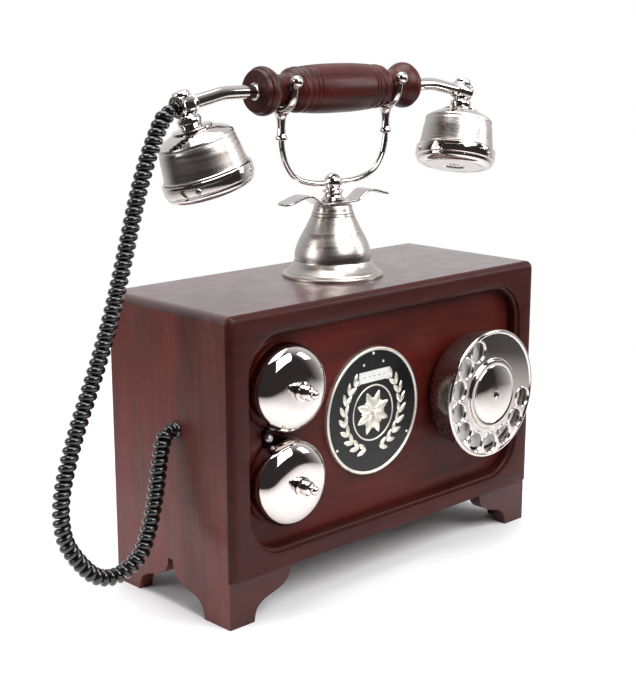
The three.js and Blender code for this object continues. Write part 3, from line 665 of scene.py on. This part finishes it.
def digits(x, plate_y, z):
    """The numbers on the plate, one in the middle of each finger hole."""
    for k, a in enumerate(HOLES):
        text = bpy.data.curves.new(f"digit_text_{k}", "FONT")
        text.body = str((k + 1) % 10)
        text.size = 6.2 * MM
        text.align_x, text.align_y = "CENTER", "CENTER"
        text.extrude = 0.05 * MM
        mesh = as_mesh(f"digit_text_{k}", text)
        spot = (x + HOLE_RING * MM * math.cos(a), plate_y - 0.06 * MM, z + HOLE_RING * MM * math.sin(a))
        mesh.transform(Matrix.Translation(spot) @ FACE)
        mesh.materials.clear()
        mesh.materials.append(INK)
        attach(add_object(f"digit_{k}", mesh), "cabinet")


def dial():
    """The case, the number plate, and the finger wheel with its rims, cap and screw."""
    c = centre("finger_wheel")
    x, z = c.x, c.z
    face = BOX["finger_wheel"][0][1]
    bowl = curve([(29, 25.3), (32.6, 22.5), (34.8, 18.5), (36.2, 14), (37.2, 9), (37.8, 5), (38, 3.4)], 6)
    lip = [(38.2, 3.1), (38.1, 2.8), (37.6, 2.8)]
    back = curve([(36, 3.4), (35.4, 7), (34.4, 13), (32.6, 18), (30, 21.5), (27, 24)], 4)
    profile = [*bowl, *lip, *back, (27, 25.3)]
    obj = turned("dial_bowl", profile, (x, face, z), (0, 1, 0), CASE_METAL, "cabinet", 144)
    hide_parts("dial_case")

    plate_y = BOX["number_plate"][0][1]
    profile = [(8, 1.5), (8, 0.1), (8.1, 0), (20.4, 0), (20.6, 0.25), (21.0, 0.25), (21.2, 0), (34.3, 0),
               (34.5, 0.2), (34.5, 1.5)]
    obj = turned("number_ring", profile, (x, plate_y, z), (0, 1, 0), PLATE, "cabinet", 128)
    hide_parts("number_plate")
    digits(x, plate_y, z)

    ring = [(HOLE_RING * math.cos(a), HOLE_RING * math.sin(a), HOLE_R) for a in HOLES]
    place = Matrix.Translation((x, face + WHEEL_THICK * MM, z)) @ FACE
    wheel = sheet_metal("finger_plate", circle(WHEEL_R, 144), ring, WHEEL_THICK, 0.5, CHROME, "dial_wheel",
                        place)
    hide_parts("finger_wheel")
    rings = [ring_data((x + u * MM, face + 1.0 * MM, z + v * MM), r + 0.55, 0.75) for u, v, r in ring]
    rings.append(ring_data((x, face + 1.4 * MM, z), 38.2, 1.35, segments=144, sides=16))
    rings.append(ring_data((x, face + 0.85 * MM, z), 21.9, 0.45, segments=96))
    obj = make("finger_plate_lips", *merge(*rings), CHROME, "dial_wheel", 60)
    cap = [(20.9, 0.9), (20.9, -0.5), (20.6, -0.8), (18.3, -1.0), (17.9, -0.8), (17.5, -1.1), (17.0, -1.1),
           *curve([(16.4, -1.4), (13, -2.05), (8.5, -2.6), (3.4, -2.88)], 6), (2.6, -2.9), (2.5, -2.2), (0, -2.2)]
    obj = turned("centre_cap", cap, (x, face, z), (0, 1, 0), CHROME, "dial_wheel", 128)
    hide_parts("wheel_cap")
    profile = [(0, 0), (2.1, 0), (2.1, 0.3), (1.7, 0.55), (0, 0.55)]
    head = lathe_data(profile, (x, face - 2.2 * MM, z), (0, -1, 0), 4)  # four sides: a square head
    bevel(make("centre_screw", *head, DARK, "dial_wheel"), 0.1 * MM)


# ---------- emblem ----------
def petal_data(cx, cz, y, angle, long, wide, high):
    """One raised leaf that points along angle on the emblem's face."""
    rows, cols = 10, 6
    verts, faces = [], []
    for i in range(rows + 1):
        t = i / rows
        w = wide * math.sin(math.pi * min(1, t * 0.96 + 0.02)) ** 0.8
        for j in range(cols + 1):
            v = 2 * j / cols - 1
            crown = high * (1 - v * v) * math.sin(math.pi * min(0.98, t * 0.9 + 0.06))
            vein = 0.25 * high * (abs(v) < 0.2)
            rise = crown + 0.05 - vein
            a = long * t
            dx = a * math.cos(angle) - v * w * math.sin(angle)
            dz = a * math.sin(angle) + v * w * math.cos(angle)
            verts.append(Vector((cx + dx * MM, y - rise * MM, cz + dz * MM)))
    for i in range(rows):
        for j in range(cols):
            k = i * (cols + 1) + j
            faces.append([k, k + 1, k + cols + 2, k + cols + 1])
    return verts, faces


def emblem():
    """A generic ornament: a wreath round an eight-pointed rosette, under a blank bar, on black."""
    c = centre("emblem_rim")
    x, z = c.x, c.z
    back = BOX["emblem_plate"][1][1]
    top = BOX["emblem_plate"][0][1]
    plate = [(0, 0), (36.1, 0), (36.1, 1.6), (0, 1.6)]
    obj = turned("emblem_field", plate, (x, back, z), (0, -1, 0), BLACK, "cabinet", 128)
    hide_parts("emblem_plate")
    rim = [(35.9, 0), (38, 0), (38, 1.6), (37.8, 2.2), (37.3, 2.6), (36.7, 2.6), (36.1, 2.2), (35.9, 1.7),
           (35.9, 0)]
    obj = turned("emblem_ring", rim, (x, back, z), (0, -1, 0), CREAM, "cabinet", 144)
    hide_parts("emblem_rim")
    nail_ring = 34.4 * MM
    nails = [ball_data((x + nail_ring * math.cos(a), top + 0.2 * MM, z + nail_ring * math.sin(a)), 0.9,
                       (0, -1, 0)) for a in map(math.radians, (90, 212, 328))]
    nails += [ball_data((x + s * 8 * MM, top - 0.1 * MM, z + 28.5 * MM), 0.8, (0, -1, 0)) for s in (-1, 1)]
    relief = []
    wreath = 23.5 * MM
    for side in (-1, 1):
        for k in range(9):
            a = math.radians(-90 + side * (14 + 15.5 * k))
            px, pz = x + wreath * math.cos(a), z + wreath * math.sin(a)
            for lean in (-0.5, 0.45):
                way = a + side * (math.pi / 2) + lean * side
                relief.append(petal_data(px, pz, top, way, 7.4, 1.5, 0.9))
    for k in range(8):
        relief.append(petal_data(x, z - 1 * MM, top, math.radians(45 * k + 22.5), 13.5, 2.7, 1.3))
        relief.append(petal_data(x, z - 1 * MM, top, math.radians(45 * k), 9.5, 2.2, 1.6))
    relief.append(ball_data((x, top - 0.9 * MM, z - 1 * MM), 2.2, (0, -1, 0)))
    relief.append(ring_data((x, top - 0.05 * MM, z - 1 * MM), 16.4, 0.5, segments=96))
    obj = make("emblem_relief", *merge(*nails, *relief), CREAM, "cabinet", 50)
    bar = [(-12, 18.2), (12, 18.2), (12, 24.2), (-12, 24.2)]
    dots = [(-8 + 4 * k, 21.2, 0.8) for k in range(5)]
    place = Matrix.Translation((x, top - 0.6 * MM, z)) @ FACE
    obj = sheet_metal("emblem_bar", bar, dots, 1.2, 0.3, PLATE, "cabinet", place)


# ---------- pedestal and cradle ----------
def pedestal():
    """The brushed bell of the pedestal, with its beaded foot and collar; heights are from the floor."""
    c = centre("pedestal")
    foot = curve([(27.4, 176.6), (24.9, 179.4), (23.1, 182.2)], 5)
    bell = curve([(22.8, 186.6), (22.3, 188.9), (21.2, 192.2), (19.4, 196.2), (17.5, 199.6), (15, 204.4),
                  (13.1, 208.5)], 6)
    outer = [(28.0, 173.1), (30.0, 173.1), (30.2, 173.4), (30.2, 174.5), (29.7, 175.2), (28.2, 175.5),
             (28.0, 176.0), *foot, (22.9, 182.7), (22.4, 182.9), (22.4, 183.3), (22.9, 183.5), *bell,
             (12.9, 208.9), (12.4, 209.0), (12.4, 209.3), (12.8, 209.4), (12.5, 210.4), (12.0, 210.5),
             (12.0, 210.9), (12.3, 211.0), (11.6, 213), (11.3, 214.6), (10.9, 215.3), (3.4, 215.3),
             (3.4, 213)]
    obj = turned("pedestal_shell", outer, (c.x, c.y, 0), (0, 0, 1), BRUSH_Z, "cabinet", 144)
    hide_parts("pedestal")


# Half of the leaf and of the yoke, in mm: [distance from the middle, height above the floor].
LEAF = [(0, 217.2), (13.5, 217.4), (17.5, 219.2), (21.5, 221.7), (25.5, 222.8), (31, 222), (37, 220.3),
        (43.4, 218.9)]
ROD = [(0, 228.5), (13, 228.5), (24, 230.2), (31.5, 233), (36, 236.6), (39.9, 242.4), (41.9, 248.6),
       (42.7, 253), (42.8, 256.4)]
LEAF_TIP, LEAF_HALF_W, LEAF_ROUND, LEAF_THICK = 43.0, 5.7, 3.2, 1.2
BALL_Z, BALL_R = 228.5, 5.4
FORK_X = ROD[-1][0]
PRONG_X, PRONG_Z, PRONG_R = 13, 288, 11.3  # tips of a fork's two prongs, and the radius of its U
FORK_U_Z = 283


def cradle():
    """What rises with the plunger: the leaf-shaped lever, the yoke and its two forks."""
    mid = HANDSET_X
    fine = curve(LEAF, 5)
    half = [(d, z) for d, z in fine if d <= LEAF_TIP] + [(LEAF_TIP, fine[-1][1] + 0.1)]
    spine = [(-d, z) for d, z in half[:0:-1]] + half
    verts, faces = [], []
    for d, z in spine:
        w = LEAF_THICK
        out = max(0.0, abs(d) - (LEAF_TIP - LEAF_HALF_W))
        if out < LEAF_HALF_W:
            w = max(w, LEAF_HALF_W * (1 - (out / LEAF_HALF_W) ** LEAF_ROUND) ** (1 / LEAF_ROUND))
        for v, h in ((-w, 0), (w, 0), (w, -LEAF_THICK), (-w, -LEAF_THICK)):
            verts.append(Vector((mid + d * MM, MID_Y + v * MM, (z + h) * MM)))
    for i in range(len(spine) - 1):
        for k in range(4):
            a, b = i * 4 + k, i * 4 + (k + 1) % 4
            faces.append([a, b, b + 4, a + 4])
    faces += [[3, 2, 1, 0], [len(verts) - 4 + k for k in range(4)]]
    leaf = bevel(make("cradle_leaf", verts, faces, CHROME_SOFT, "cradle", 40), 0.4 * MM)
    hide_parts("hook_lever")

    neck = [(0, 217.4), (6.9, 217.4), (7.1, 217.7), (7.1, 218.6), (6.7, 219.1),
            *curve([(5.8, 219.9), (5.3, 221), (5.2, 222)], 4), (5.5, 222.5), (6.1, 222.8), (6.3, 223.4),
            (6.1, 224.0), (4.6, 224.4)]
    knob = [(r, BALL_Z + h) for r, h in arc_points(BALL_R, -40, 90, 8)]
    profile = [*neck, *knob, (0, BALL_Z + BALL_R)]
    obj = turned("yoke_hub", profile, (0, MID_Y, 0), (0, 0, 1), CHROME, "cradle", 64)
    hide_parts("yoke_ball")

    route = curve([(-d, z) for d, z in ROD[:0:-1]] + ROD, 6)
    pts = [(mid + d * MM, MID_Y, z * MM) for d, z in route]
    obj = make("yoke_wire", *sweep_data(pts, lambda i, n: circle(1.7 * MM, 20)), CHROME, "cradle", 60)
    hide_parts("yoke_rod")

    for side, sign in (("left", -1), ("right", 1)):
        x = mid + sign * FORK_X * MM
        shank = curve([(2.5, 259), (2.3, 262.5), (2.5, 266), (3.1, 268.4), (4.4, 270.4)], 4)
        stem = [(0, 255.2), (2.6, 255.2), (3.3, 255.6), (3.4, 256.4), (3.3, 257.3), (2.7, 257.9), *shank,
                (3.6, 271.4), (0, 271.6)]
        arc = [(v, FORK_U_Z + w) for v, w in arc_points(PRONG_R, 190, 360, 10)]
        prong = curve([(-PRONG_X, PRONG_Z), (-12.2, 285.6), *arc, (12.2, 285.6), (PRONG_X, PRONG_Z)], 2)
        line = [(x, MID_Y + v * MM, w * MM) for v, w in prong]

        def section(i, n):
            t = abs(2 * i / (n - 1) - 1)
            return ellipse((1.9 - 0.5 * t) * MM, (3.6 - 1.9 * t) * MM, 20)

        parts = [lathe_data(stem, (x, MID_Y, 0), (0, 0, 1), 40), sweep_data(line, section)]
        parts += [ball_data((x, MID_Y + v * PRONG_X * MM, PRONG_Z * MM), 3.7, (0, 1, 0)) for v in (-1, 1)]
        obj = make(f"fork_{side}_forged", *merge(*parts), CHROME, "cradle", 50)
        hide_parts(f"fork_{side}")


# ---------- handset ----------
TILT, ROLL, DROOP = math.radians(16), math.radians(7.6), math.radians(11)
KNUCKLE = (112.8, -5.5)  # out from the middle and below the handle's axis
OUTWARDS = Vector((math.cos(DROOP), 0, -math.sin(DROOP)))
DOWN = Vector((-math.sin(TILT), 0, -math.cos(TILT)))


def handset_place(sign):
    """A function from [out, forward, up] about the handle's middle, in mm, to a point or a direction."""

    def place(p, direction=False):
        x, y, z = p
        c, s = math.cos(ROLL), -math.sin(ROLL)
        turned_point = Vector((sign * x, y * c - z * s, y * s + z * c))
        if direction:
            return turned_point
        return turned_point * MM + Vector((HANDSET_X, MID_Y, HANDLE_Z))

    return place


def handle():
    """The turned grip, alike at both ends; half is [distance from its middle, radius] in mm."""
    half = curve([(0, 14.2), (8, 14.15), (15, 13.95), (21, 13.6)], 4)
    for d, r in ((22.4, 13.5), (25.2, 13.25)):
        half += [(d - 0.6, r), (d, r - 0.5), (d + 0.6, r)]
    neck = curve([(37.4, 10.8), (39, 9.4), (41, 9)], 4)
    knob = curve([(48.6, 9.3), (50, 10), (51.4, 11.1), (53, 12.2), (55.4, 13.4), (57.4, 13.7),
                  (58.8, 13.5)], 4)
    half += [(28.6, 12.9), (29.3, 12.4), (29.8, 12.1), (30.4, 12.6), (31, 12.9), (32.6, 12.95),
             (33.4, 12.6), (34.0, 12.0), (34.6, 12.0), (35.5, 12.4), (36.4, 11.8), *neck, (43.2, 8.9),
             (47, 9.0), *knob, (59.4, 13.1), (59.9, 12.4), (60.4, 12.2), (61.3, 12.1), (61.9, 11.7),
             (62, 11.2), (62, 0)]
    profile = [(r, -d) for d, r in half[::-1]] + [(r, d) for d, r in half[1:]]
    grip = lathe_data(profile, (HANDSET_X, MID_Y, HANDLE_Z), (1, 0, 0), 128)
    obj = make("handle_turned", *grip, WOOD_HANDLE, "handset", 28)
    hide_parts("handle_grip")


SCREW_START = {"left": -66, "right": -8}  # degrees round the cup to its first screw


def knuckle_and_cup(side, sign):
    """One end of the handset: the bent arm, the knuckle, the cup, its cap, its screws, and near-black discs that
    paint the shade in its sound holes.
    """
    place = handset_place(sign)
    knuckle = place((KNUCKLE[0], 0, KNUCKLE[1]))
    out, down = place(OUTWARDS, True), place(DOWN, True)
    start = Vector((KNUCKLE[0], 0, KNUCKLE[1])) - OUTWARDS * 6.6
    route = curve([(61.9, 0, 0), (68, 0, 0), (75, 0, 0), (83, 0, -0.1), (88, 0, -0.6),
                   tuple(Vector((88, 0, -0.6)).lerp(start, 0.4)), tuple(start)], 5)
    line = [place(p) for p in route]
    tube = sweep_data(line, lambda i, n: circle(3.75 * MM, 28))
    collar = lathe_data([(0, -0.3), (4.5, -0.3), (4.8, 0), (4.8, 0.9), (4.4, 1.3), (3.6, 1.5)],
                        place((62, 0, 0)), place((1, 0, 0), True), 56)
    arm = make(f"arm_{side}_tube", *merge(tube, collar), CHROME, "handset", 40)
    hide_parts(f"arm_{side}")

    barrel = [(0, -7.0), (4.2, -7.0), (4.6, -6.8), (5.0, -6.4), (5.3, -5.6), (5.0, -5.0), (5.0, -4.6),
              (5.4, -4.3), *curve([(5.65, -3.8), (5.75, 0), (5.65, 3.4)], 3)]
    if side == "left":
        end = [(6.1, 3.7), (6.3, 4.3), (6.25, 5.3), (5.8, 5.8), (4.3, 5.8), (3.9, 5.4), (3.8, -1.8), (0, -1.8)]
    else:
        end = [(6.0, 3.5), (6.1, 4.0), (5.9, 4.4), *curve([(5.2, 4.7), (3.6, 5.4), (1.8, 5.75)], 3), (0, 5.8)]
    cap_top = [(0, -7.6), (3.9, -7.6), (4.5, -7.3), (4.9, -6.6), (4.9, -5.0), (4.4, -4.6), (4.3, -3.6)]
    parts = [lathe_data([*barrel, *end], knuckle, out, 64), lathe_data(cap_top, knuckle, down, 48)]
    obj = make(f"knuckle_{side}_cast", *merge(*parts), CHROME, "handset", 35)
    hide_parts(f"knuckle_{side}")

    shoulder = curve([(11.6, 13.6), (14.6, 14.5), (18.4, 16.4), (20.4, 17.9)], 5)
    neck = [(4.4, 4.6), (5.6, 6.2), (6.3, 6.9), (6.6, 7.6), (6.65, 8.8), (6.5, 9.9), (6.0, 10.6),
            (5.8, 11.2), (6.0, 11.8), (10.9, 12.3), (11.4, 12.6), (11.4, 13.2), (11.0, 13.5), *shoulder,
            (21.0, 18.4)]
    obj = turned(f"cup_{side}_dome", [*neck, (20.4, 19.2)], knuckle, down, CHROME, "handset", 96)
    body = [(20.6, 18.5), (21.0, 18.6), (21.25, 19.2), (21.3, 20.0), (21.0, 20.4), (21.1, 20.9),
            (21.4, 21.6), *curve([(21.5, 22.4), (22.1, 26), (22.7, 31), (23.3, 35.4)], 4), (23.4, 35.9),
            (23.9, 36.3), (23.9, 36.9), (21.5, 36.9), (20.4, 29), (19, 21)]
    obj = turned(f"cup_{side}_body", body, knuckle, down, BRUSH_CUP[side], "handset", 128)
    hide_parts(f"cup_{side}")
    rim = curve([(24.4, 45.2), (24.0, 46.2), (22.9, 47.4), (21.5, 48.1), (20.3, 48.4)], 4)
    cap = [(22, 44.6), (23.5, 42), (23.5, 37.2), (24.8, 37.2), (25.2, 37.5), (25.3, 38.0), (25.3, 39.0),
           (25.0, 39.2), (25.0, 39.5), (25.3, 39.7), (25.3, 43.2), (25.0, 43.8), (24.4, 44.2),
           (24.3, 44.6), *rim, (19.2, 48.4), (19.0, 48.0), (18.2, 48.0), (18.0, 48.4), (8.2, 48.4),
           (7.6, 47.8), (0, 47.6)]
    obj = turned(f"cup_cap_{side}_ring", cap, knuckle, down, CHROME, "handset", 128)
    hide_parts(f"cup_cap_{side}")

    # Three grub screws round the cap, and a ring of thin near-black discs on its face: painted shade where the
    # sound holes are.
    flat = down.cross(Vector((1, 0, 0))).normalized()
    across = down.cross(flat).normalized()
    heads, holes = [], []
    screw = [(0, 0), (1.7, 0), (1.7, 0.5), (1.4, 0.9), (0.5, 1.0), (0.45, 0.6), (0, 0.6)]
    for k in range(3):
        a = math.radians(SCREW_START[side] + 120 * k)
        way = flat * math.cos(a) + across * math.sin(a)
        spot = knuckle + down * (41.6 * MM) + way * (25.0 * MM)
        heads.append(lathe_data(screw, spot, way, 24))
    obj = make(f"cap_screws_{side}", *merge(*heads), CHROME_SOFT, "handset", 35)
    for ring, count in ((0, 1), (2.6, 6), (5.2, 12)):
        for k in range(count):
            a = 2 * math.pi * k / count
            way = flat * math.cos(a) + across * math.sin(a)
            spot = knuckle + down * (47.62 * MM) + way * (ring * MM)
            holes.append(lathe_data([(0, 0), (0.7, 0), (0.7, 0.08), (0, 0.08)], spot, down, 16))
    make(f"sound_hole_shade_{side}", *merge(*holes), DARK, "handset")


def relief_boot():
    """The rubber boot in the left knuckle, where the cord goes in."""
    place = handset_place(-1)
    at = place((KNUCKLE[0], 0, KNUCKLE[1]))
    profile = [(0, -0.9), (3.4, -0.9), (3.4, 4.2), (3.1, 4.5), (3.1, 5.0), (3.4, 5.3), (3.3, 6.2),
               (2.9, 6.8), (0, 6.8)]
    obj = turned("relief_boot", profile, at, place(OUTWARDS, True), RUBBER, "handset", 40)
    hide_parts("strain_relief")


# ---------- back ----------
def back_fixings():
    """The six screws that hold the back panel."""
    low, high = BOX["back_panel"]
    profile = [(0, -0.4), (3.2, -0.4), (3.4, -0.1), (3.2, 0.25), (2.4, 0.6), (0.6, 0.7), (0.5, 0.2), (0, 0.2)]
    heads = []
    for x in (low[0] + 9 * MM, 0, high[0] - 9 * MM):
        for z in (low[2] + 8 * MM, high[2] - 8 * MM):
            heads.append(lathe_data(profile, (x, high[1] - 0.35 * MM, z), (0, 1, 0), 32))
    obj = make("back_screws", *merge(*heads), STEEL, "cabinet", 35)


for bell in ("upper", "lower"):
    gong(bell, centre(f"gong_{bell}").z)
dial()
emblem()
pedestal()
cradle()
handle()
for hand_side, hand_sign in (("left", -1), ("right", 1)):
    knuckle_and_cup(hand_side, hand_sign)
relief_boot()
back_fixings()


# ---------- studio ----------
FLOOR_R, FADE_START, FADE_END = 0.7, 0.25, 0.62  # the floor fades out between the last two
LIGHTS = (  # name, place, target, size, power
    ("key", (0.05, -0.90, 0.98), (0, 0, 0.12), (0.85, 0.8), 17),
    ("top", (-0.1, 0.1, 1.25), (0, 0, 0.15), (1.0, 0.8), 15),
    ("front_right", (0.95, -0.75, 0.65), (0, 0, 0.12), (0.3, 0.6), 4),
    ("side_left", (-1.2, 0.45, 0.6), (0, 0, 0.15), (0.6, 0.8), 8),
)
BACKDROP_WAY = (0.694, 0.719, 0.25)  # from the camera past the object
BACKDROP, DARK_ROOM = (0.95, 0.95, 0.97, 1), (0.045, 0.04, 0.04, 1)


def floor():
    """A pale round floor whose rim fades into the white surroundings."""
    mesh = bpy.data.meshes.new("floor")
    n = 96
    rim = [(x, y, 0) for x, y in circle(FLOOR_R, n)]
    mesh.from_pydata([(0, 0, 0), *rim], [], [[0, 1 + k, 1 + (k + 1) % n] for k in range(n)])
    obj = add_object("floor", mesh)
    s = Shader("floor_paper", Base_Color=(0.84, 0.84, 0.85, 1), Roughness=0.65)
    s.bump(s.noise(400, detail=3), 0.02, 0.0002)
    distance = s.node("ShaderNodeVectorMath", {0: s.place}, operation="LENGTH").outputs["Value"]
    fade = s.node("ShaderNodeMapRange", {"Value": distance, "From Min": FADE_START, "From Max": FADE_END})
    clear = s.node("ShaderNodeBsdfTransparent").outputs[0]
    mixed = s.node("ShaderNodeMixShader", {0: fade.outputs[0], 1: s.bsdf.outputs[0], 2: clear})
    s.tree.links.new(mixed.outputs[0], s.tree.nodes["Material Output"].inputs["Surface"])
    mesh.materials.append(s.material)


def softbox(name, place, target, size, power):
    """A white rectangular light that faces the target."""
    light = bpy.data.lights.new(name, "AREA")
    light.shape = "RECTANGLE"
    light.size, light.size_y = size
    light.energy = power
    obj = add_object(name, light)
    obj.location = place
    obj.rotation_euler = (Vector(target) - Vector(place)).to_track_quat("-Z", "Y").to_euler()


def studio():
    """White to the camera; reflections see a white backdrop behind the object and a dark room."""
    world = bpy.data.worlds.new("studio")
    bpy.context.scene.world = world
    world.use_nodes = True
    tree = world.node_tree
    seen = tree.nodes["Background"]
    seen.inputs["Color"].default_value = (1, 1, 1, 1)
    seen.inputs["Strength"].default_value = 1.0
    coord = tree.nodes.new("ShaderNodeTexCoord")
    ahead = tree.nodes.new("ShaderNodeVectorMath")
    ahead.operation = "DOT_PRODUCT"
    ahead.inputs[1].default_value = BACKDROP_WAY
    tree.links.new(coord.outputs["Generated"], ahead.inputs[0])
    ramp = tree.nodes.new("ShaderNodeValToRGB")
    for stop, position, colour in zip(ramp.color_ramp.elements, (0.0, 0.62), (DARK_ROOM, BACKDROP)):
        stop.position = position
        stop.color = colour
    tree.links.new(ahead.outputs["Value"], ramp.inputs[0])
    room = tree.nodes.new("ShaderNodeBackground")
    tree.links.new(ramp.outputs[0], room.inputs["Color"])
    room.inputs["Strength"].default_value = 0.9
    rays = tree.nodes.new("ShaderNodeLightPath")
    mix = tree.nodes.new("ShaderNodeMixShader")
    tree.links.new(rays.outputs["Is Camera Ray"], mix.inputs[0])
    tree.links.new(room.outputs[0], mix.inputs[1])
    tree.links.new(seen.outputs[0], mix.inputs[2])
    tree.links.new(mix.outputs[0], tree.nodes["World Output"].inputs["Surface"])
    for light in LIGHTS:
        softbox(*light)


floor()
studio()
